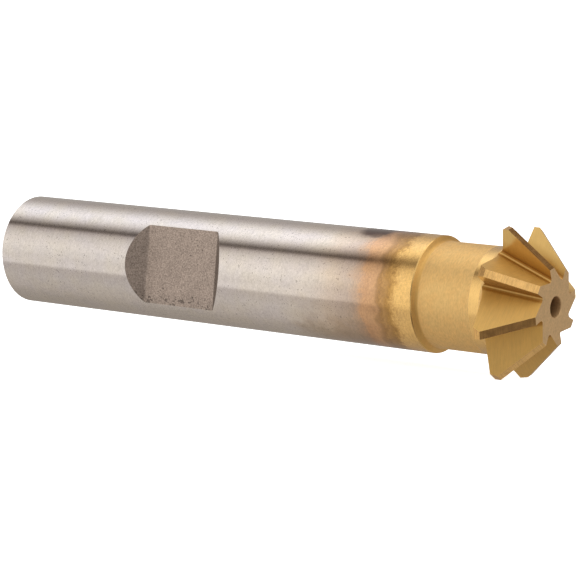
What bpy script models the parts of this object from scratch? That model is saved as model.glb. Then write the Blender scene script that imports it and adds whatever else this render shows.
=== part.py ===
"""Single angle milling cutter with a round shank, modelled as one solid.

The cutter lies with its axis along +X. The centre of the shank's end face is the
origin, the teeth are at the +X end and +Z is up. The teeth are turned about the
axis so that two of them touch the surface that the cutter lies on.

The blank is turned with its centre hole, and a flat is milled into the shank. The
teeth are then ground from the head's stock by one cutter, a sleeve whose bore has
the outline of all the teeth.
"""

from math import atan2, cos, pi, radians, sin, tan

import bmesh
import bpy
from mathutils import Matrix, Vector

MM = 0.001

# Lengths along the axis
OVERALL_LENGTH = 53.975 * MM
NECK_LENGTH = 6.7 * MM
RIM_WIDTH = 0.5 * MM
COAT_LENGTH = 12.8 * MM

# Sizes of the turned blank
SHANK_DIAMETER = 9.525 * MM
NECK_STEP = 0.44 * MM
HEAD_DIAMETER = 12.7 * MM
NOSE_DIAMETER = 6.35 * MM

# Edges and corners of the blank
END_CHAMFER = 0.25 * MM
SHOULDER_SLOPE = radians(55)
SHOULDER_FILLET = 0.4 * MM
BACK_SLOPE = radians(10)
HEAD_FILLET = 0.45 * MM

# Centre hole in the nose
HOLE_DIAMETER = 1.69 * MM
HOLE_DEPTH = 3.0 * MM
HOLE_POINT_ANGLE = radians(118)

# Flat that the holder's set screw bears on; the angle of its normal goes from +Y to +Z
FLAT_CENTRE = 19.5 * MM
FLAT_LENGTH = 7.4 * MM
FLAT_DEPTH = 1.36 * MM
FLAT_WALL_SLOPE = radians(45)
FLAT_FILLET = 0.4 * MM
FLAT_ANGLE = radians(180)

# Teeth, on the cone that the cutting edges sweep
TOOTH_COUNT = 8
CONE_SLOPE = radians(45)
LAND_WIDTH = 0.66 * MM
RELIEF_ANGLE = radians(8)
GULLET_DEPTH = 1.05 * MM
GULLET_FILLET = 0.25 * MM

# Stock that the teeth are ground from, and how far a cutter runs past the blank
STOCK = 0.3 * MM
RUN_PAST = 0.5 * MM

# Divisions of the round surfaces
ROUND_STEPS = 120
FILLET_STEPS = 6
SLEEVE_STEPS = 32
SHARP_ANGLE = radians(25)

SHANK_RADIUS = SHANK_DIAMETER / 2
NECK_RADIUS = SHANK_RADIUS - NECK_STEP
HEAD_RADIUS = HEAD_DIAMETER / 2
NOSE_RADIUS = NOSE_DIAMETER / 2
HOLE_RADIUS = HOLE_DIAMETER / 2
FLAT_HEIGHT = SHANK_RADIUS - FLAT_DEPTH
RIM_FRONT = OVERALL_LENGTH - (HEAD_RADIUS - NOSE_RADIUS) / tan(CONE_SLOPE)
HEAD_BACK = RIM_FRONT - RIM_WIDTH
NECK_START = HEAD_BACK - NECK_LENGTH
COAT_START = OVERALL_LENGTH - COAT_LENGTH
TOOTH_PITCH = 2 * pi / TOOTH_COUNT
DOWN_IN_PROFILE = 1.5 * pi


def clear_scene():
    for old in list(bpy.data.objects):
        bpy.data.objects.remove(old, do_unlink=True)


def arc(centre, radius, start, end):
    """Points on an arc from the start angle to the end angle, both included."""
    turn = (end - start) / FILLET_STEPS
    angles = [start + turn * step for step in range(FILLET_STEPS + 1)]
    return [(centre[0] + radius * cos(a), centre[1] + radius * sin(a)) for a in angles]


def new_object(name, bm):
    bmesh.ops.recalc_face_normals(bm, faces=bm.faces)
    mesh = bpy.data.meshes.new(name)
    bm.to_mesh(mesh)
    bm.free()
    obj = bpy.data.objects.new(name, mesh)
    bpy.context.scene.collection.objects.link(obj)
    return obj


def cut_away(blank, cutter):
    """Subtract the cutter from the blank, and remove it."""
    cut = blank.modifiers.new(cutter.name, "BOOLEAN")
    cut.operation = "DIFFERENCE"
    cut.solver = "EXACT"
    cut.object = cutter
    bpy.context.view_layer.objects.active = blank
    bpy.ops.object.modifier_apply(modifier=cut.name)
    bpy.data.objects.remove(cutter, do_unlink=True)


# The blank, as points (along the axis, distance from it)


def shank_profile():
    """The end face, its chamfered edge and the shank, up to where the coating starts."""
    return [
        (0.0, 0.0),
        (0.0, SHANK_RADIUS - END_CHAMFER),
        (END_CHAMFER, SHANK_RADIUS),
        (COAT_START, SHANK_RADIUS),
    ]


def shoulder_profile():
    """The step from the shank down to the neck: an edge, a slope and a fillet."""
    slope_run = NECK_STEP / tan(SHOULDER_SLOPE)
    tangent = SHOULDER_FILLET * tan(SHOULDER_SLOPE / 2)
    centre = (NECK_START + slope_run + tangent, NECK_RADIUS + SHOULDER_FILLET)
    fillet = arc(centre, SHOULDER_FILLET, DOWN_IN_PROFILE - SHOULDER_SLOPE, DOWN_IN_PROFILE)
    return [(NECK_START, SHANK_RADIUS)] + fillet


def head_profile():
    """The fillet behind the head, the dished back face, and the rim and cone with their stock."""
    radius = min(HEAD_FILLET, HEAD_RADIUS - NECK_RADIUS)
    touch = NECK_RADIUS + radius * (1 - sin(BACK_SLOPE))
    centre_along = HEAD_BACK - (HEAD_RADIUS - touch) * tan(BACK_SLOPE) - radius * cos(BACK_SLOPE)
    centre = (centre_along, NECK_RADIUS + radius)
    return arc(centre, radius, DOWN_IN_PROFILE, 2 * pi - BACK_SLOPE) + [
        (HEAD_BACK + STOCK * tan(BACK_SLOPE), HEAD_RADIUS + STOCK),
        (RIM_FRONT, HEAD_RADIUS + STOCK),
        (OVERALL_LENGTH, NOSE_RADIUS + STOCK),
    ]


def centre_hole_profile():
    """The drilled hole, from its mouth to the point that the drill leaves."""
    bottom = OVERALL_LENGTH - HOLE_DEPTH
    point = HOLE_RADIUS / tan(HOLE_POINT_ANGLE / 2)
    return [(OVERALL_LENGTH, HOLE_RADIUS), (bottom, HOLE_RADIUS), (bottom - point, 0.0)]


def make_blank():
    """The turned blank: one half section, spun about the axis."""
    profile = shank_profile() + shoulder_profile() + head_profile() + centre_hole_profile()
    bm = bmesh.new()
    points = [bm.verts.new((along, radius, 0.0)) for along, radius in profile]
    lines = [bm.edges.new(pair) for pair in zip(points, points[1:])]
    bmesh.ops.spin(
        bm,
        geom=points + lines,
        cent=(0.0, 0.0, 0.0),
        axis=(1.0, 0.0, 0.0),
        angle=2 * pi,
        steps=ROUND_STEPS,
        use_merge=True,
    )
    bmesh.ops.remove_doubles(bm, verts=bm.verts, dist=HOLE_RADIUS / ROUND_STEPS)
    return new_object("angle_cutter", bm)


# The flat


def make_flat_cutter():
    """A bar with sloping ends, laid across the shank with its floor at the flat's height."""
    top = SHANK_RADIUS + RUN_PAST
    half_floor = FLAT_LENGTH / 2
    half_top = half_floor + (top - FLAT_HEIGHT) / tan(FLAT_WALL_SLOPE)
    inset = FLAT_FILLET * tan(FLAT_WALL_SLOPE / 2)
    fillet_height = FLAT_HEIGHT + FLAT_FILLET
    back = (FLAT_CENTRE - half_floor + inset, fillet_height)
    front = (FLAT_CENTRE + half_floor - inset, fillet_height)
    profile = [(FLAT_CENTRE - half_top, top)]
    profile += arc(back, FLAT_FILLET, DOWN_IN_PROFILE - FLAT_WALL_SLOPE, DOWN_IN_PROFILE)
    profile += arc(front, FLAT_FILLET, DOWN_IN_PROFILE, DOWN_IN_PROFILE + FLAT_WALL_SLOPE)
    profile += [(FLAT_CENTRE + half_top, top)]
    bm = bmesh.new()
    side = bm.faces.new([bm.verts.new((x, height, -top)) for x, height in profile])
    swept = bmesh.ops.extrude_face_region(bm, geom=[side])["geom"]
    far_side = [item for item in swept if isinstance(item, bmesh.types.BMVert)]
    bmesh.ops.translate(bm, verts=far_side, vec=(0.0, 0.0, 2 * top))
    cutter = new_object("flat_cutter", bm)
    cutter.rotation_euler.x = FLAT_ANGLE
    return cutter


# The teeth, as points in a section across the axis, with the first tooth along +Y


def turned(point, angle):
    return Matrix.Rotation(angle, 2) @ point


def meeting_point(start, direction, other_start, other_direction):
    """Where two lines in a section meet."""
    reach = (other_start - start).cross(other_direction) / direction.cross(other_direction)
    return start + direction * reach


def on_rake_face(radius):
    """The point of the first tooth's rake face, which is radial, at this distance from the axis."""
    return Vector((radius, 0.0))


def land_direction():
    """From the next tooth's cutting edge back over its land, which falls by the relief angle."""
    return turned(Vector((-sin(RELIEF_ANGLE), -cos(RELIEF_ANGLE))), TOOTH_PITCH)


def gullet_form():
    """The flank's direction in every section, and the root's rise along the axis.

    The rise is the one that keeps the land's width the same all along the cone.
    """
    radial = on_rake_face(1.0)
    next_radial = turned(radial, TOOTH_PITCH)
    heel = next_radial * NOSE_RADIUS + land_direction() * LAND_WIDTH
    flank = (heel - on_rake_face(NOSE_RADIUS - GULLET_DEPTH)).normalized()
    rise = tan(CONE_SLOPE) * next_radial.cross(flank) / radial.cross(flank)
    return flank, rise


def gullet_bottom(root, flank):
    """The fillet between the rake face and the flank, which would meet at the root."""
    rake = on_rake_face(1.0)
    opening = rake.angle(flank)
    centre = root + (rake + flank).normalized() * GULLET_FILLET / sin(opening / 2)
    spoke = Vector((0.0, -GULLET_FILLET))
    turn = (opening - pi) / FILLET_STEPS
    return [centre + turned(spoke, turn * step) for step in range(FILLET_STEPS + 1)]


def tooth_outline(x):
    """One pitch of the section at x: a cutting edge, the gullet and the next tooth's heel."""
    from_nose = OVERALL_LENGTH - x
    flank, rise = gullet_form()
    edge = on_rake_face(min(NOSE_RADIUS + from_nose * tan(CONE_SLOPE), HEAD_RADIUS))
    root = on_rake_face(NOSE_RADIUS - GULLET_DEPTH + from_nose * rise)
    heel = meeting_point(root, flank, turned(edge, TOOTH_PITCH), land_direction())
    return [edge] + gullet_bottom(root, flank) + [heel]


def loft(bm, first, second):
    """Walls between two closed rings of as many points."""
    count = len(first)
    for step in range(count):
        after = (step + 1) % count
        bm.faces.new((first[step], first[after], second[after], second[step]))


def close_end(bm, bore, skin):
    """The flat end between the sleeve's bore and its skin."""
    rings = [bm.edges.get(pair) for ring in (bore, skin) for pair in zip(ring, ring[1:] + ring[:1])]
    bmesh.ops.triangle_fill(bm, edges=rings, use_beauty=True)


def make_tooth_cutter():
    """The sleeve that grinds the teeth, from where the gullets run out to past the nose."""
    flank, rise = gullet_form()
    run_out_radius = NECK_RADIUS + RUN_PAST
    run_out = OVERALL_LENGTH - (run_out_radius - NOSE_RADIUS + GULLET_DEPTH) / rise
    stations = (run_out, RIM_FRONT, OVERALL_LENGTH + RUN_PAST)
    sleeve_point = Vector((HEAD_RADIUS + STOCK + RUN_PAST, 0.0))
    skin_outline = [turned(sleeve_point, 2 * pi * step / SLEEVE_STEPS) for step in range(SLEEVE_STEPS)]
    bm = bmesh.new()
    bores = []
    for x in stations:
        pitch = tooth_outline(x)
        points = [turned(point, tooth * TOOTH_PITCH) for tooth in range(TOOTH_COUNT) for point in pitch]
        bores.append([bm.verts.new((x, *point)) for point in points])
    skins = [[bm.verts.new((x, *point)) for point in skin_outline] for x in (stations[0], stations[-1])]
    loft(bm, bores[0], bores[1])
    loft(bm, bores[1], bores[2])
    loft(bm, skins[0], skins[1])
    close_end(bm, bores[0], skins[0])
    close_end(bm, bores[2], skins[1])
    cutter = new_object("tooth_cutter", bm)
    cutter.rotation_euler.x = rest_turn()
    return cutter


def rest_turn():
    """The turn that brings one cutting edge and the next tooth's heel level, below the axis."""
    outline = tooth_outline(HEAD_BACK)
    edge_to_heel = outline[-1] - outline[0]
    return -atan2(edge_to_heel.y, edge_to_heel.x)


# Finishes


def make_metal(name, colour, roughness):
    material = bpy.data.materials.new(name)
    material.use_nodes = True
    shader = material.node_tree.nodes["Principled BSDF"]
    shader.inputs["Base Color"].default_value = (*colour, 1.0)
    shader.inputs["Metallic"].default_value = 1.0
    shader.inputs["Roughness"].default_value = roughness
    return material


def finish(cutter):
    """Ground steel on the shank, the gold coating in front of it, and sharp edges kept sharp."""
    mesh = cutter.data
    mesh.materials.append(make_metal("ground_steel", colour=(0.52, 0.49, 0.46), roughness=0.35))
    mesh.materials.append(make_metal("gold_coating", colour=(0.62, 0.42, 0.16), roughness=0.32))
    for face in mesh.polygons:
        face.material_index = int(face.center.x > COAT_START)
    mesh.shade_smooth()
    mesh.set_sharp_from_angle(angle=SHARP_ANGLE)


clear_scene()
angle_cutter = make_blank()
cut_away(angle_cutter, make_flat_cutter())
cut_away(angle_cutter, make_tooth_cutter())
finish(angle_cutter)
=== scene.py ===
"""The look of a single angle milling cutter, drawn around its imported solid.

The cutter is turned from a bar of tool steel, its flat is milled, its teeth are ground, and
its front is coated. The finished piece replaces the plain solid and rides with it.
"""

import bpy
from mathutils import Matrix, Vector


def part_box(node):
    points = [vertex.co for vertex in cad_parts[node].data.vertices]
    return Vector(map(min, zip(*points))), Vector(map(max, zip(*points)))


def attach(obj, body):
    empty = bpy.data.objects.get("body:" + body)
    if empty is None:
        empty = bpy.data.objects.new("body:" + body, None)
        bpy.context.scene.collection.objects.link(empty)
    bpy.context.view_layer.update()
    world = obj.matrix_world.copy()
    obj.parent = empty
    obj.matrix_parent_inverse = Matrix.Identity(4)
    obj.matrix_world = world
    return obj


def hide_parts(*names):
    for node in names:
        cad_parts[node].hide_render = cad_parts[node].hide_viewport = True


bl_info = {
    "name": "Angle Cutter Dressing",
    "version": (1, 0, 0),
    "blender": (4, 5, 0),
    "location": "3D View > Sidebar > Angle Cutter",
    "description": "Models and finishes a coated single angle milling cutter in a small studio",
    "category": "Object",
}

from math import atan2, cos, floor, hypot, pi, radians, sin, tan

import bpy
from bpy.props import FloatProperty, FloatVectorProperty, IntProperty, PointerProperty
from mathutils import Matrix, Vector

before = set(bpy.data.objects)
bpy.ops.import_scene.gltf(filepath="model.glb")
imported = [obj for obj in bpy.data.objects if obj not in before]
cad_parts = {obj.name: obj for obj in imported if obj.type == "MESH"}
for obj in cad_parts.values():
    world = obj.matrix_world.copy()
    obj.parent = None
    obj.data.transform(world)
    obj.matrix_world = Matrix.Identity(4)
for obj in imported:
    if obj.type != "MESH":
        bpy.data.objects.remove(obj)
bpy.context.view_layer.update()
NODE = "angle_cutter"

MM = 0.001
AXIS = Vector((1.0, 0.0, 0.0))
DOWN_IN_PROFILE = 1.5 * pi

# Divisions of the round surfaces, and the angle at which two faces meet in a sharp edge
ROUND_STEPS = 288
FILLET_STEPS = 10
SHARP_ANGLE = radians(24)
WELD = 0.0005 * MM

# How far a cutter runs past the steel, and the stock left on the head for the grinding
RUN_PAST = 0.6 * MM
STOCK = 0.3 * MM


# Sizes and colours


class CutterSizes(bpy.types.PropertyGroup):
    overall_length: FloatProperty(
        name="Overall Length",
        description="From the shank's end to the nose",
        default=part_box(NODE)[1][0],
        unit="LENGTH",
    )
    shank_diameter: FloatProperty(
        name="Shank Diameter",
        description="Across the round shank",
        default=9.525 * MM,
        unit="LENGTH",
    )
    neck_step: FloatProperty(
        name="Neck Step",
        description="Depth of the step from shank to neck",
        default=0.44 * MM,
        unit="LENGTH",
    )
    neck_length: FloatProperty(
        name="Neck Length",
        description="From the shoulder to the head",
        default=6.7 * MM,
        unit="LENGTH",
    )
    head_diameter: FloatProperty(
        name="Head Diameter",
        description="Across the cutting edges at the rim",
        default=12.7 * MM,
        unit="LENGTH",
    )
    nose_diameter: FloatProperty(
        name="Nose Diameter",
        description="Across the cutting edges at the nose",
        default=6.35 * MM,
        unit="LENGTH",
    )
    rim_width: FloatProperty(
        name="Rim Width",
        description="Cylindrical part of the head",
        default=0.5 * MM,
        unit="LENGTH",
    )
    cone_slope: FloatProperty(
        name="Cone Slope",
        description="Between the cutting edges and the axis",
        default=radians(45),
        unit="ROTATION",
    )
    back_slope: FloatProperty(
        name="Back Slope",
        description="Dish of the head's back face",
        default=radians(10),
        unit="ROTATION",
    )
    hole_diameter: FloatProperty(
        name="Hole Diameter",
        description="Centre hole in the nose",
        default=1.69 * MM,
        unit="LENGTH",
    )
    hole_depth: FloatProperty(
        name="Hole Depth",
        description="Straight part of the centre hole",
        default=3.0 * MM,
        unit="LENGTH",
    )
    flat_centre: FloatProperty(
        name="Flat Centre",
        description="From the shank's end to the flat's middle",
        default=19.5 * MM,
        unit="LENGTH",
    )
    flat_length: FloatProperty(
        name="Flat Length",
        description="Length of the flat's floor",
        default=7.4 * MM,
        unit="LENGTH",
    )
    flat_depth: FloatProperty(
        name="Flat Depth",
        description="From the shank's surface to the flat's floor",
        default=1.36 * MM,
        unit="LENGTH",
    )
    tooth_count: IntProperty(name="Teeth", description="Number of teeth", default=8, min=4)
    land_width: FloatProperty(
        name="Land Width",
        description="Behind each cutting edge",
        default=0.66 * MM,
        unit="LENGTH",
    )
    relief_angle: FloatProperty(
        name="Relief",
        description="Fall of the land behind its edge",
        default=radians(8),
        unit="ROTATION",
    )
    gullet_depth: FloatProperty(
        name="Gullet Depth",
        description="Below the cutting edge at the nose",
        default=1.05 * MM,
        unit="LENGTH",
    )


def colour_setting(name, description, hex_colour):
    return FloatVectorProperty(
        name=name,
        description=description,
        default=linear(hex_colour),
        subtype="COLOR",
        size=3,
        min=0.0,
        max=1.0,
    )


def linear(hex_colour):
    """An sRGB hex colour as the linear values that Blender's sockets take."""
    parts = [int(hex_colour[i : i + 2], 16) / 255 for i in (0, 2, 4)]
    return tuple(c / 12.92 if c <= 0.04045 else ((c + 0.055) / 1.055) ** 2.4 for c in parts)


class CutterColours(bpy.types.PropertyGroup):
    steel: colour_setting("Steel", "Ground tool steel", "c5bcb4")
    milled: colour_setting("Milled Steel", "Bare steel on the flat", "a29286")
    ground_gold: colour_setting("Ground Gold", "Nitride coat over ground steel", "e0b672")
    gold: colour_setting("Gold", "Nitride coat over turned steel", "e1ba79")
    shoulder_gold: colour_setting("Shoulder Gold", "Nitride coat on the shoulder", "dcb068")
    flank_gold: colour_setting("Flank Gold", "Nitride coat on the backs of the teeth", "dcae60")
    rake_gold: colour_setting("Rake Gold", "Nitride coat on the fronts of the teeth", "dab46c")
    land_gold: colour_setting("Land Gold", "Nitride coat behind the cutting edges", "dcae6c")
    nose: colour_setting("Nose", "Nitride coat on the nose", "dcb480")


class StudioSettings(bpy.types.PropertyGroup):
    camera_turn: FloatProperty(
        name="Camera Turn",
        description="From the front towards the nose",
        default=radians(35.52),
        unit="ROTATION",
    )
    camera_rise: FloatProperty(
        name="Camera Rise",
        description="Above the level of the axis",
        default=radians(3.254),
        unit="ROTATION",
    )
    camera_roll: FloatProperty(
        name="Camera Roll",
        description="Turn about the line of sight",
        default=radians(4.325),
        unit="ROTATION",
    )
    camera_distance: FloatProperty(
        name="Camera Distance",
        description="From the point it looks at",
        default=197.88 * MM,
        unit="LENGTH",
    )
    floor_colour: colour_setting("Floor", "Seamless pale floor", "f4f4f2")


# Drawing and cutting


def deselect_all():
    if bpy.context.object and bpy.context.object.mode != "OBJECT":
        bpy.ops.object.mode_set(mode="OBJECT")
    bpy.ops.object.select_all(action="DESELECT")


def draw_outline(name, points):
    """A new object in edit mode: one point, extruded from corner to corner."""
    deselect_all()
    bpy.ops.mesh.primitive_plane_add(size=MM, enter_editmode=True, location=points[0])
    bpy.context.object.name = name
    bpy.ops.mesh.merge(type="CENTER")
    for start, end in zip(points, points[1:]):
        step = [b - a for a, b in zip(start, end)]
        bpy.ops.mesh.extrude_vertices_move(TRANSFORM_OT_translate={"value": step})
    bpy.ops.mesh.select_all(action="SELECT")
    return bpy.context.object


def settle():
    """Out of edit mode, with the object's place moved into its mesh."""
    bpy.ops.object.mode_set(mode="OBJECT")
    bpy.ops.object.transform_apply(location=True, rotation=True, scale=True)
    return bpy.context.object


def fill_and_sweep(sweep):
    """The drawn outline as a face, swept along a line into a closed bar."""
    bpy.ops.mesh.edge_face_add()
    bpy.ops.mesh.extrude_region_move(TRANSFORM_OT_translate={"value": sweep})
    bpy.ops.mesh.select_all(action="SELECT")
    bpy.ops.mesh.normals_make_consistent(inside=False)
    return settle()


def cut_away(steel, cutter):
    """Subtract the cutter from the steel, and remove it."""
    deselect_all()
    cut = steel.modifiers.new(cutter.name, "BOOLEAN")
    cut.operation = "DIFFERENCE"
    cut.solver = "EXACT"
    cut.object = cutter
    bpy.context.view_layer.objects.active = steel
    bpy.ops.object.modifier_apply(modifier=cut.name)
    bpy.data.objects.remove(cutter, do_unlink=True)


def slice_off(steel, point, outward):
    """Cut the steel along a plane, keep the inner side and close it."""
    deselect_all()
    steel.select_set(True)
    bpy.context.view_layer.objects.active = steel
    bpy.ops.object.mode_set(mode="EDIT")
    bpy.ops.mesh.select_all(action="SELECT")
    bpy.ops.mesh.bisect(
        plane_co=point, plane_no=outward, use_fill=True, clear_outer=True, threshold=WELD
    )
    bpy.ops.object.mode_set(mode="OBJECT")


def arc(centre, radius, start, end):
    """Points on an arc in a profile, both ends included."""
    turn = (end - start) / FILLET_STEPS
    angles = [start + turn * step for step in range(FILLET_STEPS + 1)]
    return [(centre[0] + radius * cos(a), centre[1] + radius * sin(a)) for a in angles]


# The blank


END_CHAMFER = 0.25 * MM
EDGE_BREAK = 0.05 * MM
SHOULDER_SLOPE = radians(55)
SHOULDER_FILLET = 0.4 * MM
HEAD_FILLET = 0.45 * MM
HOLE_POINT_ANGLE = radians(118)
# The narrow ground band on the neck behind the head
BAND_SETBACK = 0.75 * MM
BAND_WIDTH = 0.9 * MM


def neck_radius(s):
    return s.shank_diameter / 2 - s.neck_step


def rim_front(s):
    return s.overall_length - (s.head_diameter - s.nose_diameter) / 2 / tan(s.cone_slope)


def head_back(s):
    return rim_front(s) - s.rim_width


def blank_profile(s):
    """Half the section of the turned bar, as (along the axis, distance from it)."""
    shank = s.shank_diameter / 2
    neck = neck_radius(s)
    head = s.head_diameter / 2
    shoulder = head_back(s) - s.neck_length
    slope_run = s.neck_step / tan(SHOULDER_SLOPE)
    tangent = SHOULDER_FILLET * tan(SHOULDER_SLOPE / 2)
    touch = neck + HEAD_FILLET * (1 - sin(s.back_slope))
    fillet_along = head_back(s) - (head - touch) * tan(s.back_slope) - HEAD_FILLET * cos(s.back_slope)
    hole = s.hole_diameter / 2
    hole_end = s.overall_length - s.hole_depth
    profile = [(0.0, 0.0), (0.0, shank - END_CHAMFER)]
    profile += [(END_CHAMFER, shank), (shoulder - EDGE_BREAK, shank)]
    profile += [(shoulder + EDGE_BREAK * cos(SHOULDER_SLOPE), shank - EDGE_BREAK * sin(SHOULDER_SLOPE))]
    profile += arc(
        (shoulder + slope_run + tangent, neck + SHOULDER_FILLET),
        SHOULDER_FILLET,
        DOWN_IN_PROFILE - SHOULDER_SLOPE,
        DOWN_IN_PROFILE,
    )
    profile += [(head_back(s) - BAND_SETBACK - BAND_WIDTH, neck)]
    profile += arc((fillet_along, neck + HEAD_FILLET), HEAD_FILLET, DOWN_IN_PROFILE, 2 * pi - s.back_slope)
    profile += [
        (head_back(s) + STOCK * tan(s.back_slope), head + STOCK),
        (rim_front(s), head + STOCK),
        (s.overall_length, s.nose_diameter / 2 + STOCK),
        (s.overall_length, hole + EDGE_BREAK),
        (s.overall_length - EDGE_BREAK, hole),
        (hole_end, hole),
        (hole_end - hole / tan(HOLE_POINT_ANGLE / 2), 0.0),
    ]
    return profile


def turn_blank(s):
    """The bar after turning: its half section, spun about the axis and welded."""
    draw_outline("milling_cutter", [(along, radius, 0.0) for along, radius in blank_profile(s)])
    bpy.ops.mesh.spin(steps=ROUND_STEPS, angle=2 * pi, center=(0.0, 0.0, 0.0), axis=AXIS)
    bpy.ops.mesh.select_all(action="SELECT")
    bpy.ops.mesh.remove_doubles(threshold=WELD)
    bpy.ops.mesh.normals_make_consistent(inside=False)
    return settle()


# The flat


FLAT_WALL_SLOPE = radians(45)
FLAT_FILLET = 0.4 * MM


def mill_flat(steel, s):
    """The set screw's flat on the side towards the camera, with sloping ends."""
    top = s.shank_diameter / 2 + RUN_PAST
    floor = s.shank_diameter / 2 - s.flat_depth
    half_floor = s.flat_length / 2
    half_top = half_floor + (top - floor) / tan(FLAT_WALL_SLOPE)
    inset = FLAT_FILLET * tan(FLAT_WALL_SLOPE / 2)
    back = (s.flat_centre - half_floor + inset, floor + FLAT_FILLET)
    front = (s.flat_centre + half_floor - inset, floor + FLAT_FILLET)
    profile = [(s.flat_centre - half_top, top)]
    profile += arc(back, FLAT_FILLET, DOWN_IN_PROFILE - FLAT_WALL_SLOPE, DOWN_IN_PROFILE)
    profile += arc(front, FLAT_FILLET, DOWN_IN_PROFILE, DOWN_IN_PROFILE + FLAT_WALL_SLOPE)
    profile += [(s.flat_centre + half_top, top)]
    draw_outline("flat_cutter", [(along, -height, -top) for along, height in profile])
    cut_away(steel, fill_and_sweep((0.0, 0.0, 2 * top)))


# The teeth


GULLET_FILLET = 0.25 * MM


class ToothForm:
    """The form of one tooth in a section across the axis, with its cutting edge along +Y."""

    def __init__(self, s):
        self.pitch = 2 * pi / s.tooth_count
        self.nose = s.nose_diameter / 2
        self.root = self.nose - s.gullet_depth
        edge = Vector((1.0, 0.0))
        next_edge = self.turned(edge, self.pitch)
        self.land = self.turned(Vector((-sin(s.relief_angle), -cos(s.relief_angle))), self.pitch)
        heel = next_edge * self.nose + self.land * s.land_width
        self.flank = (heel - edge * self.root).normalized()
        self.rise = tan(s.cone_slope) * next_edge.cross(self.flank) / edge.cross(self.flank)
        rim_root = self.root + (s.overall_length - head_back(s)) * self.rise
        rim = s.head_diameter / 2
        rim_heel = self.meet(edge * rim_root, self.flank, next_edge * rim, self.land)
        chord = rim_heel - edge * rim
        self.rest_turn = -edge.angle(chord) if chord.y > 0 else edge.angle(chord)

    @staticmethod
    def turned(point, angle):
        return Matrix.Rotation(angle, 2) @ point

    @staticmethod
    def meet(start, direction, other_start, other_direction):
        """Where two lines in a section meet."""
        reach = (other_start - start).cross(other_direction) / direction.cross(other_direction)
        return start + direction * reach


def grind_lands(steel, s, form):
    """Two planes for each tooth, over the cone and over the rim, that fall behind its edge."""
    rim = s.head_diameter / 2
    for tooth in range(s.tooth_count):
        turn = Matrix.Rotation(form.rest_turn + tooth * form.pitch, 3, "X")
        radial = turn @ Vector((0.0, cos(s.relief_angle), -sin(s.relief_angle)))
        slope = turn @ Vector((-cos(s.cone_slope), sin(s.cone_slope), 0.0))
        land = turn @ Vector((0.0, -sin(s.relief_angle), -cos(s.relief_angle)))
        on_rim = turn @ Vector((rim_front(s), rim, 0.0))
        on_cone = slope.cross(land).normalized()
        slice_off(steel, on_rim, on_cone if on_cone.x > 0 else -on_cone)
        slice_off(steel, on_rim, radial)


def grind_gullets(steel, s, form):
    """One V shaped cutter, laid along the gullet's rising root, cuts in front of every tooth."""
    run_out = neck_radius(s) + RUN_PAST
    start_along = s.overall_length - (run_out - form.root) / form.rise
    sweep_along = s.overall_length + RUN_PAST - start_along
    edge = Vector((1.0, 0.0))
    root = edge * run_out
    opening = edge.angle(form.flank)
    centre = root + (edge + form.flank).normalized() * GULLET_FILLET / sin(opening / 2)
    turn = (opening - pi) / FILLET_STEPS
    spoke = Vector((0.0, -GULLET_FILLET))
    bottom = [centre + form.turned(spoke, turn * step) for step in range(FILLET_STEPS + 1)]
    reach = s.head_diameter
    section = [root + edge * reach] + bottom + [root + form.flank * reach]
    sweep = Vector((sweep_along, -form.rise * sweep_along, 0.0))
    for tooth in range(s.tooth_count):
        turn_tooth = Matrix.Rotation(form.rest_turn + tooth * form.pitch, 3, "X")
        draw_outline("gullet_cutter", [turn_tooth @ Vector((start_along, *point)) for point in section])
        cut_away(steel, fill_and_sweep(turn_tooth @ sweep))


# Finishes


def new_material(name):
    material = bpy.data.materials.new(name)
    material.use_nodes = True
    return material, material.node_tree, material.node_tree.nodes["Principled BSDF"]


def feed(tree, node, inputs):
    """Give a node's inputs their values, or link them to the nodes that feed them."""
    for name, value in inputs.items():
        named = [socket for socket in node.inputs if socket.enabled and socket.name == name]
        socket = node.inputs[name] if isinstance(name, int) else named[0]
        if isinstance(value, bpy.types.Node):
            value = next(output for output in value.outputs if output.enabled)
        if isinstance(value, bpy.types.NodeSocket):
            tree.links.new(value, socket)
        else:
            socket.default_value = value


def add(tree, kind, inputs=None, stops=(), **settings):
    """A node with its settings, its inputs and, where it has them, its colour stops."""
    node = tree.nodes.new("ShaderNode" + kind)
    for name, value in settings.items():
        setattr(node, name, value)
    if stops:
        elements = node.color_ramp.elements
        elements.remove(elements[-1])
        elements[0].position = stops[0][0]
        for place, _ in stops[1:]:
            elements.new(place)
        for element, (_, colour) in zip(elements, stops):
            element.color = (*colour, 1.0)
    feed(tree, node, inputs or {})
    return node


def marks(tree, size, detail=3.0, roughness=0.55, laid="Object"):
    """Noise whose grains have this size, in metres: along X, Y and Z, or laid by the UV map."""
    place = add(tree, "TexCoord").outputs[laid]
    scaled = add(tree, "Mapping", {"Vector": place, "Scale": [1 / length for length in size]})
    inputs = {"Vector": scaled, "Scale": 1.0, "Detail": detail, "Roughness": roughness}
    return add(tree, "TexNoise", inputs)


# The settings of a node that eases a value into another range, and of one that multiplies
EASED = {"interpolation_type": "SMOOTHSTEP"}
MULTIPLIED = {"data_type": "RGBA", "blend_type": "MULTIPLY"}
# Most of a noise lies between these values
NOISE_SPAN = (0.3, 0.7)
WHITE = (1.0, 1.0, 1.0, 1.0)


def span(value, low, high, at_low=0.0, at_high=1.0):
    """The inputs that take a value from one range to another."""
    return {"Value": value, "From Min": low, "From Max": high, "To Min": at_low, "To Max": at_high}


def times(colour, by):
    """The inputs that multiply a colour."""
    return {"Factor": 1.0, "A": colour, "B": by}


def toned(tree, colour, *layers):
    """The colour made darker and lighter by each layer's share, as its pattern goes."""
    for pattern, share in layers:
        tone = add(tree, "MapRange", span(pattern, *NOISE_SPAN, 1 - share, 1 + share))
        colour = add(tree, "Mix", times(colour, tone), **MULTIPLIED)
    return colour


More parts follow.
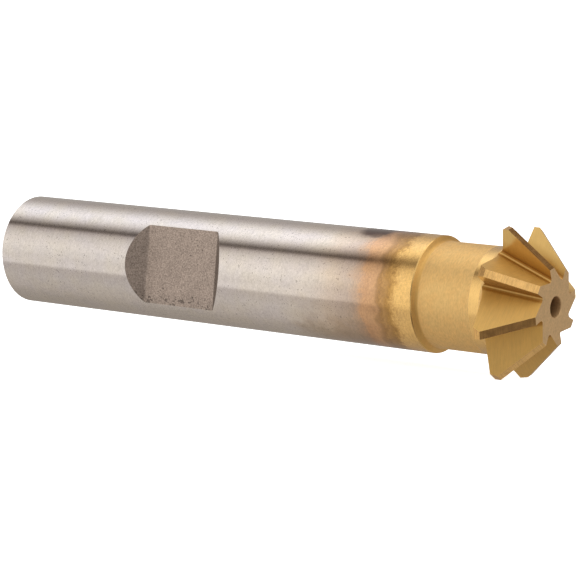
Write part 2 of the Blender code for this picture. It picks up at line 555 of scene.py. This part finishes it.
def worn_and_shaded(tree, colour, value, low, high, left):
    """The colour, down to what is left of it as the value rises from low to high."""
    share = add(tree, "MapRange", span(value, low, high, 1.0, left), **EASED)
    return add(tree, "Mix", times(colour, share), **MULTIPLIED)


def spot(tree, centre, inner, outer, ragged):
    """1 within a ragged spot on the surface, and 0 outside it."""
    place = add(tree, "TexCoord").outputs["Object"]
    reach = add(tree, "VectorMath", {0: place, 1: centre}, operation="DISTANCE")
    edge = add(tree, "Math", {0: ragged, 1: outer, 2: reach}, operation="MULTIPLY_ADD")
    ends = span(edge, inner + outer / 2, outer + outer / 2, 1.0, 0.0)
    return add(tree, "MapRange", ends, **EASED)


# The heat tint, as (millimetres behind the nose, colour): steel, straw, bronze, the brown ring
# at the coating's edge, and the coating
HEAT_TINT = (
    (46.0, "c5bcb4"),
    (34.0, "c8bfb7"),
    (24.0, "cdc3ba"),
    (20.0, "cec2b5"),
    (18.2, "cab9a8"),
    (16.4, "bfac9a"),
    (15.5, "bfa288"),
    (15.0, "c99f79"),
    (13.9, "c99e73"),
    (13.6, "ad875f"),
    (13.3, "a78053"),
    (12.9, "b48c5a"),
    (12.6, "a8804c"),
    (12.3, "b88f53"),
    (12.0, "d4a968"),
    (11.6, "e0b672"),
)


# How far the heat tint's edges wander, over some millimetres and from grain to grain
TINT_RAGGED = 2.2 * MM
TINT_GRAIN = 0.7 * MM
# Scorched and stained spots, as (behind the nose, across, up, inner and outer reach in
# millimetres, what is left of each colour): two on top of the shank and one beneath it
STAINS = (
    (16.1, -0.9, 4.75, 0.8, 2.0, (0.19, 0.12, 0.10)),
    (14.9, 0.2, 4.8, 0.9, 2.2, (0.60, 0.50, 0.45)),
    (18.0, -0.6, -4.8, 1.0, 7.0, (0.74, 0.66, 0.58)),
)
COOL_AND_WARM = ((0.35, (0.985, 0.985, 1.02)), (0.65, (1.015, 1.005, 0.97)))

# Sizes of the ground steel's marks, along the axis and around it. A wheel's scratches are some
# micrometres wide, too fine to show, so the grain and the rings are drawn coarser
GROUND_RINGS = (0.2 * MM, 8 * MM, 8 * MM)
GROUND_GRAIN = (0.16 * MM, 0.22 * MM, 0.22 * MM)
GROUND_CLOUDS = (1.7 * MM, 1.4 * MM, 1.4 * MM)
COOL_PATCHES = (2.6 * MM, 2.2 * MM, 2.2 * MM)
GRAIN_TONE = 0.13
CLOUD_TONE = 0.055
RING_TONE = 0.03
# A pit shows where the grain and the clouds are both above these values
PIT_GRAIN = (0.57, 0.67)
PIT_CLOUDS = (0.44, 0.56)
PIT_LEFT = 0.55
# How far along the tint the pits fade out, and how far along it the coat makes the steel duller
PITS_FADE = (0.84, 0.96)
COAT_STARTS = (0.85, 0.98)
BARE_AND_COATED_ROUGHNESS = (0.15, 0.24)
WAVE_DEPTH = 0.004 * MM
GRAIN_DEPTH = 0.0012 * MM


def heat_tint(tree, s, colours, grain, clouds):
    """The way from steel to gold, 0 to 1 with ragged edges, and the tint's colour there."""
    along = add(tree, "SeparateXYZ", {"Vector": add(tree, "TexCoord").outputs["Object"]})
    ragged = along.outputs["X"]
    for pattern, reach in ((clouds, TINT_RAGGED), (grain, TINT_GRAIN)):
        ragged = add(tree, "Math", {0: pattern, 1: reach, 2: ragged}, operation="MULTIPLY_ADD")
    start, end = HEAT_TINT[0][0], HEAT_TINT[-1][0]
    shift = s.overall_length + (TINT_RAGGED + TINT_GRAIN) / 2
    share = add(tree, "MapRange", span(ragged, shift - start * MM, shift - end * MM))
    stops = [((start - behind) / (start - end), linear(colour)) for behind, colour in HEAT_TINT]
    stops[0] = (0.0, tuple(colours.steel))
    stops[-1] = (1.0, tuple(colours.ground_gold))
    return share, add(tree, "ValToRGB", {"Fac": share}, stops)


def ground_steel(s, colours):
    """Ground tool steel: a satin shine with a fine even grain, faint rings from the wheel, and
    some pits. Towards the coating it turns bronze and brown where it got hot, with ragged
    edges, and then gold."""
    material, tree, shader = new_material("ground_tool_steel")
    rings = marks(tree, GROUND_RINGS, 4.0)
    grain = marks(tree, GROUND_GRAIN, 2.0, 0.7)
    clouds = marks(tree, GROUND_CLOUDS, 4.0)
    share, colour = heat_tint(tree, s, colours, grain, clouds)
    cool = add(tree, "ValToRGB", {"Fac": marks(tree, COOL_PATCHES, 2.0)}, COOL_AND_WARM)
    colour = add(tree, "Mix", times(colour, cool), **MULTIPLIED)
    colour = toned(tree, colour, (grain, GRAIN_TONE), (clouds, CLOUD_TONE), (rings, RING_TONE))
    pits = add(tree, "MapRange", span(share, *PITS_FADE, 1.0, 0.0), **EASED)
    for pattern, ends in ((grain, PIT_GRAIN), (clouds, PIT_CLOUDS)):
        gathered = add(tree, "MapRange", span(pattern, *ends), **EASED)
        pits = add(tree, "Math", {0: pits, 1: gathered}, operation="MULTIPLY")
    colour = worn_and_shaded(tree, colour, pits, 0.0, 1.0, PIT_LEFT)
    for behind, out, up, inner, outer, left in STAINS:
        centre = (s.overall_length - behind * MM, out * MM, up * MM)
        spotted = spot(tree, centre, inner * MM, outer * MM, clouds)
        stained = add(tree, "Mix", {"Factor": spotted, "A": WHITE, "B": (*left, 1.0)}, data_type="RGBA")
        colour = add(tree, "Mix", times(colour, stained), **MULTIPLIED)
    waves = add(tree, "Bump", {"Height": clouds, "Distance": WAVE_DEPTH})
    bump = add(tree, "Bump", {"Height": grain, "Distance": GRAIN_DEPTH, "Normal": waves})
    rough = add(tree, "MapRange", span(share, *COAT_STARTS, *BARE_AND_COATED_ROUGHNESS), **EASED)
    feed(tree, shader, {"Base Color": colour, "Metallic": 1.0, "Roughness": rough, "Normal": bump})
    return material


COAT_CLOUDS = (0.9 * MM, 0.9 * MM, 0.9 * MM)
# How much smoother and rougher than its mean the coat gets from cloud to cloud
COAT_EVENNESS = (0.9, 1.1)
# Painted shade on a coat, as (share of the reach, what is left of each colour), with the distance
# from a gullet's root or, in the centre hole, from its mouth
PAINTED_SHADE_REACH = 3.0 * MM
# Painted shade on the backs of the teeth: a dark strip near the gullet's root
FLANK_PAINTED_SHADE = (
    (0.0, (1.0, 1.0, 1.0)),
    (0.059, (1.0, 1.0, 1.0)),
    (0.067, (0.60, 0.45, 0.22)),
    (0.135, (0.62, 0.47, 0.24)),
    (0.19, (0.90, 0.85, 0.70)),
    (0.6, (0.91, 0.88, 0.81)),
    (1.0, (0.95, 0.95, 0.94)),
)
# Painted shade on the fronts of the teeth, darker towards the gullet's root
RAKE_PAINTED_SHADE = (
    (0.0, (0.6, 0.5, 0.34)),
    (0.13, (0.6, 0.5, 0.34)),
    (0.22, (0.76, 0.7, 0.56)),
    (0.5, (1.0, 1.0, 1.0)),
)
# Painted shade in the centre hole, darker further in from its mouth
HOLE_PAINTED_SHADE = (
    (0.0, (0.95, 0.95, 0.95)),
    (0.12, (0.7, 0.64, 0.6)),
    (0.4, (0.25, 0.2, 0.16)),
    (1.0, (0.12, 0.1, 0.08)),
)


def nitride_coat(name, colour, roughness, size, share, depth, laid="Object", metallic=1.0, painted_shade=None):
    """Titanium nitride over ground or turned steel: gold, and no smoother than the marks of
    the wheel or the tool beneath it, which give each surface its own grain. Down in the
    gullets and in the centre hole some surfaces get painted shade, darker towards the root and with depth."""
    material, tree, shader = new_material(name)
    lines = marks(tree, size, 3.0, 0.65, laid)
    clouds = marks(tree, COAT_CLOUDS, 4.0)
    tone = toned(tree, (*colour, 1.0), (lines, share), (clouds, share / 2))
    # Painted shade, darker towards a gullet's root and deeper in the centre hole
    if painted_shade:
        laid_out = add(tree, "SeparateXYZ", {"Vector": add(tree, "TexCoord").outputs["UV"]})
        reach = add(tree, "MapRange", span(laid_out.outputs["Y"], 0.0, PAINTED_SHADE_REACH))
        shadow = add(tree, "ValToRGB", {"Fac": reach}, painted_shade)
        tone = add(tree, "Mix", times(tone, shadow), **MULTIPLIED)
    bump = add(tree, "Bump", {"Height": lines, "Distance": depth})
    smooth, rough = (roughness * evenness for evenness in COAT_EVENNESS)
    rough = add(tree, "MapRange", span(clouds, *NOISE_SPAN, smooth, rough), **EASED)
    feed(tree, shader, {"Base Color": tone, "Metallic": metallic, "Roughness": rough, "Normal": bump})
    return material


# Sizes of the milled steel's marks, and how much darker and lighter they make it
MILLED_GRAIN = (0.13 * MM, 0.13 * MM, 0.13 * MM)
MILLED_SPECKS = (0.34 * MM, 0.3 * MM, 0.3 * MM)
MILLED_GRAIN_TONE = 0.42
MILLED_CLOUD_TONE = 0.08
MILLED_DEPTH = 0.008 * MM
# Where the flat gets darker towards its lower edge, in height from the axis, and the noise above
# which a dark speck shows, on the floor and at that edge
LOWER_EDGE_HEIGHTS = (-1.9 * MM, -3.1 * MM)
LOWER_EDGE_LEFT = 0.9
SPECK_LEVELS = (0.66, 0.55)
SPECK_EDGE = 0.08
SPECK_LEFT = 0.48
# Painted shade on the end towards the head, over the length in which it comes on
FRONT_END_SHADE_SPREAD = 0.1 * MM
FRONT_END_SHADE_LEFT = 0.58


def milled_steel(s, colour):
    """The flat's floor and ends, milled and left bare: dull and grainy and darker towards the lower
    edge, where some dark specks crowd, with painted shade on the end at the front."""
    material, tree, shader = new_material("milled_tool_steel")
    grain = marks(tree, MILLED_GRAIN, 2.0, 0.75)
    specks = marks(tree, MILLED_SPECKS, 2.0, 0.6)
    clouds = marks(tree, COAT_CLOUDS, 4.0)
    place = add(tree, "SeparateXYZ", {"Vector": add(tree, "TexCoord").outputs["Object"]})
    tone = toned(tree, (*colour, 1.0), (grain, MILLED_GRAIN_TONE), (clouds, MILLED_CLOUD_TONE))
    # Darker towards the flat's lower edge, where the dark specks crowd
    to_lower_edge = add(tree, "MapRange", span(place.outputs["Z"], *LOWER_EDGE_HEIGHTS), **EASED)
    level = add(tree, "MapRange", span(to_lower_edge, 0.0, 1.0, *SPECK_LEVELS), **EASED)
    above = add(tree, "Math", {0: specks, 1: level}, operation="SUBTRACT")
    tone = worn_and_shaded(tree, tone, above, 0.0, SPECK_EDGE, SPECK_LEFT)
    tone = worn_and_shaded(tree, tone, to_lower_edge, 0.0, 1.0, LOWER_EDGE_LEFT)
    # Painted shade on the flat's end towards the head
    front_end = s.flat_centre + s.flat_length / 2
    ends = (front_end - FRONT_END_SHADE_SPREAD, front_end + FRONT_END_SHADE_SPREAD)
    tone = worn_and_shaded(tree, tone, place.outputs["X"], *ends, FRONT_END_SHADE_LEFT)
    bump = add(tree, "Bump", {"Height": grain, "Distance": MILLED_DEPTH})
    feed(tree, shader, {"Base Color": tone, "Metallic": 1.0, "Roughness": 0.5, "Normal": bump})
    return material


# The marks that show through the coat: rings on turned steel, an even grain on the nose, and
# scratches across the teeth
TURNED = (0.12 * MM, 0.3 * MM, 0.3 * MM)
EVEN = (0.16 * MM, 0.16 * MM, 0.16 * MM)
ACROSS = (0.1 * MM, 1.2 * MM, 1 * MM)
# The coated finishes: the material, its colour, roughness, marks, their tone and depth, and for
# some the coordinates they follow, how metallic the coat is, and its painted shade. Where it
# scatters light from below its marks it is less than fully metallic
COATS = {
    "turned": ("nitride_on_turned_steel", "gold", 0.55, TURNED, 0.11, 0.003 * MM),
    "shoulder": ("nitride_on_shoulder", "shoulder_gold", 0.55, TURNED, 0.06, 0.003 * MM),
    "band": ("nitride_on_ground_band", "ground_gold", 0.24, TURNED, 0.05, 0.001 * MM),
    "flank": ("nitride_on_flanks", "flank_gold", 0.42, ACROSS, 0.08, 0.002 * MM, "UV", 0.5, FLANK_PAINTED_SHADE),
    "rake": ("nitride_on_rakes", "rake_gold", 0.2, ACROSS, 0.06, 0.001 * MM, "UV", 0.7, RAKE_PAINTED_SHADE),
    "land": ("nitride_on_lands", "land_gold", 0.24, ACROSS, 0.18, 0.003 * MM, "UV"),
    "nose": ("nitride_on_nose", "nose", 0.34, EVEN, 0.12, 0.002 * MM),
    "hole": ("nitride_in_hole", "nose", 0.5, EVEN, 0.1, 0.002 * MM, "UV", 0.3, HOLE_PAINTED_SHADE),
}


def finish_cutter(cutter, s, colours):
    """The cutter's materials, face by face: what was ground round, milled, turned or coated."""
    materials = {"ground": ground_steel(s, colours), "milled": milled_steel(s, tuple(colours.milled))}
    for finish, (name, colour, *surface) in COATS.items():
        materials[finish] = nitride_coat(name, tuple(getattr(colours, colour)), *surface)
    names = list(materials)
    for material in materials.values():
        cutter.data.materials.append(material)
    for face in cutter.data.polygons:
        face.material_index = names.index(finish_of(face, s))


# Points this close in front of a rake face count as on it
TURN_SLACK = radians(0.5)


def map_teeth(cutter, s, form):
    """A UV map for the teeth, in metres: the distance from the nose, and from the gullet's root
    or, in the centre hole, from its mouth."""
    layer = cutter.data.uv_layers.active
    for loop in cutter.data.loops:
        along, across, up = cutter.data.vertices[loop.vertex_index].co
        behind = s.overall_length - along
        turn = atan2(up, across) - form.rest_turn
        past = turn - form.pitch * floor((turn + TURN_SLACK) / form.pitch)
        radius = hypot(across, up)
        above = radius * cos(past) - form.root - behind * form.rise
        depth = behind if radius < s.hole_diameter else hypot(above, radius * sin(past))
        layer.data[loop.index].uv = (behind, depth)


# A face this near a surface lies on it, and normals whose parts differ this little are alike
NEAR = 0.02 * MM
ALIKE = 0.02
# How far a rake face may look outwards, and how far a land on the rim has to
RAKE_OUTWARD = 0.2
LAND_OUTWARD = 0.95


def finish_of(face, s):
    """Which finish a face has, by where it lies and which way it looks."""
    along, across, up = face.center
    radius = hypot(across, up)
    outward = (face.normal.y * across + face.normal.z * up) / radius
    band_front = head_back(s) - BAND_SETBACK
    if along < head_back(s) - s.neck_length:
        below_round = radius < s.shank_diameter / 2 - NEAR
        return "milled" if below_round and abs(along - s.flat_centre) < s.flat_length else "ground"
    if along > s.overall_length - NEAR:
        return "nose"
    if along < band_front - BAND_WIDTH:
        return "shoulder" if radius > neck_radius(s) + NEAR else "turned"
    if along < band_front:
        return "band"
    if radius < s.hole_diameter:
        return "hole"
    if face.normal.x < -ALIKE:
        return "turned"
    if abs(face.normal.x) < ALIKE and abs(outward) < RAKE_OUTWARD:
        return "rake"
    on_cone = abs(face.normal.x - cos(s.cone_slope)) < ALIKE
    return "land" if on_cone or outward > LAND_OUTWARD else "flank"


# Operators


class CUTTER_OT_model(bpy.types.Operator):
    """Turn, mill and grind the cutter, and give it its finish"""

    bl_idname = "cutter.model"
    bl_label = "Model Cutter"

    def execute(self, context):
        s = context.scene.cutter_sizes
        form = ToothForm(s)
        cutter = turn_blank(s)
        mill_flat(cutter, s)
        grind_lands(cutter, s, form)
        grind_gullets(cutter, s, form)
        deselect_all()
        cutter.select_set(True)
        context.view_layer.objects.active = cutter
        bpy.ops.object.mode_set(mode="EDIT")
        bpy.ops.mesh.select_all(action="SELECT")
        bpy.ops.mesh.remove_doubles(threshold=WELD)
        bpy.ops.mesh.normals_make_consistent(inside=False)
        bpy.ops.object.mode_set(mode="OBJECT")
        map_teeth(cutter, s, form)
        finish_cutter(cutter, s, context.scene.cutter_colours)
        bpy.ops.object.shade_smooth_by_angle(angle=SHARP_ANGLE)
        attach(cutter, "root")
        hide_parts(NODE)
        return {"FINISHED"}


# The paper is a disc that curves up all round, out of these sizes in metres
SWEEP_RADIUS = 0.9
SWEEP_SIDES = 96
SWEEP_STEPS = 12
PAPER_GLOW = 0.8
# The camera's lens and sensor in millimetres, and what it sees between, in metres
LENS = 147.37
SENSOR_WIDTH = 36.0
SEEN_FROM = 1 * MM
SEEN_TO = 20.0
LOOK_AT = (28.37 * MM, 0.0, -0.93 * MM)

# Brightness of the light tent around the cutter's axis, as (degrees up from the front, red,
# green, blue): the left side, where the soft boxes are, and the right side with its openings
TENT_GAIN = 1.8
# From left to right, the directions between which the one side goes over into the other
TENT_SEAM = (-0.3, 0.2)
TENT_LEFT = (
    (-180, 0.42, 0.40, 0.38),
    (-150, 0.38, 0.34, 0.30),
    (-110, 0.53, 0.50, 0.46),
    (-88, 0.68, 0.65, 0.62),
    (-60, 0.78, 0.76, 0.74),
    (-34, 0.74, 0.71, 0.69),
    (-31, 1.15, 1.14, 1.13),
    (-12, 1.10, 1.09, 1.08),
    (0, 1.21, 1.21, 1.20),
    (12, 1.30, 1.30, 1.29),
    (24, 1.24, 1.23, 1.23),
    (36, 1.06, 1.05, 1.04),
    (44, 0.88, 0.85, 0.84),
    (49, 0.70, 0.66, 0.65),
    (53, 0.30, 0.26, 0.24),
    (55, 0.12, 0.10, 0.09),
    (58, 0.12, 0.10, 0.09),
    (62, 0.38, 0.35, 0.33),
    (68, 0.70, 0.68, 0.67),
    (76, 1.16, 1.16, 1.18),
    (84, 1.44, 1.48, 1.54),
    (94, 1.55, 1.60, 1.70),
    (104, 1.38, 1.41, 1.49),
    (112, 1.15, 1.16, 1.19),
    (120, 0.90, 0.89, 0.90),
    (128, 0.70, 0.67, 0.66),
    (140, 0.54, 0.51, 0.49),
    (180, 0.42, 0.40, 0.38),
)
TENT_RIGHT = (
    (-180, 0.53, 0.53, 0.53),
    (-150, 0.60, 0.59, 0.57),
    (-121, 0.62, 0.61, 0.59),
    (-103, 0.38, 0.37, 0.36),
    (-88, 0.40, 0.37, 0.35),
    (-68, 0.34, 0.30, 0.28),
    (-58, 0.16, 0.13, 0.12),
    (-44, 0.14, 0.11, 0.10),
    (-34, 0.54, 0.53, 0.52),
    (-20, 0.78, 0.78, 0.78),
    (-8, 0.50, 0.50, 0.50),
    (6, 0.32, 0.32, 0.32),
    (20, 0.60, 0.60, 0.60),
    (40, 0.92, 0.92, 0.92),
    (61, 0.94, 0.94, 0.94),
    (78, 1.40, 1.40, 1.40),
    (108, 1.60, 1.60, 1.60),
    (120, 0.24, 0.19, 0.17),
    (138, 0.20, 0.16, 0.14),
    (152, 0.40, 0.40, 0.40),
    (180, 0.53, 0.53, 0.53),
)


def light_tent():
    """A tent of white cloth with soft boxes behind it, as a world whose brightness goes by the
    angle around the cutter's axis."""
    world = bpy.data.worlds.new("light_tent")
    world.use_nodes = True
    tree = world.node_tree
    direction = add(tree, "SeparateXYZ", {"Vector": add(tree, "TexCoord").outputs["Generated"]})
    towards_front = add(tree, "Math", {0: direction.outputs["Y"], 1: -1.0}, operation="MULTIPLY")
    angle = add(tree, "Math", {0: direction.outputs["Z"], 1: towards_front}, operation="ARCTAN2")
    around = add(tree, "MapRange", span(angle, -pi, pi))
    sides = []
    for side in (TENT_LEFT, TENT_RIGHT):
        stops = [((turn + 180) / 360, [part / TENT_GAIN for part in light]) for turn, *light in side]
        sides.append(add(tree, "ValToRGB", {"Fac": around}, stops))
    to_right = add(tree, "MapRange", span(direction.outputs["X"], *TENT_SEAM), **EASED)
    cloth = add(tree, "Mix", {"Factor": to_right, "A": sides[0], "B": sides[1]}, data_type="RGBA")
    feed(tree, tree.nodes["Background"], {"Color": cloth, "Strength": TENT_GAIN})
    return world


def white_paper(colour):
    """Matt white background paper, lit from behind so that it stays white to its edges."""
    material, tree, shader = new_material("matt_white_paper")
    feed(tree, shader, {"Base Color": (*colour, 1.0), "Roughness": 1.0})
    feed(tree, shader, {"Emission Color": (1.0, 1.0, 1.0, 1.0), "Emission Strength": PAPER_GLOW})
    return material


class CUTTER_OT_studio(bpy.types.Operator):
    """Set the floor, the soft boxes and the camera around the cutter"""

    bl_idname = "cutter.studio"
    bl_label = "Set Studio"

    def execute(self, context):
        s = context.scene.cutter_studio
        rest_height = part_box(NODE)[0][2]
        deselect_all()
        bpy.ops.mesh.primitive_circle_add(
            vertices=SWEEP_SIDES, radius=SWEEP_RADIUS, fill_type="NGON", location=(0.0, 0.0, rest_height)
        )
        bpy.ops.object.mode_set(mode="EDIT")
        bpy.ops.mesh.select_all(action="SELECT")
        for step in range(SWEEP_STEPS):
            lean = pi / 2 * (step + 0.5) / SWEEP_STEPS
            lift = SWEEP_RADIUS / SWEEP_STEPS * sin(lean)
            wider = 1 + cos(lean) / SWEEP_STEPS
            bpy.ops.mesh.extrude_edges_move(TRANSFORM_OT_translate={"value": (0.0, 0.0, lift)})
            bpy.ops.transform.resize(value=(wider, wider, 1.0), center_override=(0.0, 0.0, 0.0))
        paper = settle()
        paper.name = "studio_floor"
        paper.data.materials.append(white_paper(tuple(s.floor_colour)))
        # The tent alone lights the cutter: the paper's glow would wash it out from below
        paper.visible_diffuse = False
        paper.visible_glossy = False
        paper.visible_shadow = False
        context.scene.world = light_tent()
        towards = Vector((sin(s.camera_turn), -cos(s.camera_turn), tan(s.camera_rise))).normalized()
        bpy.ops.object.camera_add(location=Vector(LOOK_AT) + towards * s.camera_distance)
        camera = context.object
        camera.name = "camera"
        level = (-towards).to_track_quat("-Z", "Y").to_matrix()
        camera.rotation_euler = (level @ Matrix.Rotation(s.camera_roll, 3, "Z")).to_euler()
        camera.data.lens = LENS
        camera.data.sensor_width = SENSOR_WIDTH
        camera.data.clip_start = SEEN_FROM
        camera.data.clip_end = SEEN_TO
        context.scene.camera = camera
        context.scene.view_settings.view_transform = "Standard"
        return {"FINISHED"}


class CUTTER_PT_sidebar(bpy.types.Panel):
    """The cutter's sizes, colours and studio, with a button for each step"""

    bl_idname = "CUTTER_PT_sidebar"
    bl_label = "Angle Cutter"
    bl_space_type = "VIEW_3D"
    bl_region_type = "UI"
    bl_category = "Angle Cutter"

    def draw(self, context):
        scene = context.scene
        for settings, button in (
            (scene.cutter_sizes, None),
            (scene.cutter_colours, CUTTER_OT_model.bl_idname),
            (scene.cutter_studio, CUTTER_OT_studio.bl_idname),
        ):
            for name in settings.__annotations__:
                self.layout.prop(settings, name)
            if button:
                self.layout.operator(button)


CLASSES = (
    CutterSizes,
    CutterColours,
    StudioSettings,
    CUTTER_OT_model,
    CUTTER_OT_studio,
    CUTTER_PT_sidebar,
)


def register():
    for cls in CLASSES:
        bpy.utils.register_class(cls)
    bpy.types.Scene.cutter_sizes = PointerProperty(type=CutterSizes)
    bpy.types.Scene.cutter_colours = PointerProperty(type=CutterColours)
    bpy.types.Scene.cutter_studio = PointerProperty(type=StudioSettings)


def unregister():
    del bpy.types.Scene.cutter_studio
    del bpy.types.Scene.cutter_colours
    del bpy.types.Scene.cutter_sizes
    for cls in reversed(CLASSES):
        bpy.utils.unregister_class(cls)


def main():
    register()
    bpy.ops.cutter.model()
    bpy.ops.cutter.studio()


if __name__ == "__main__":
    main()
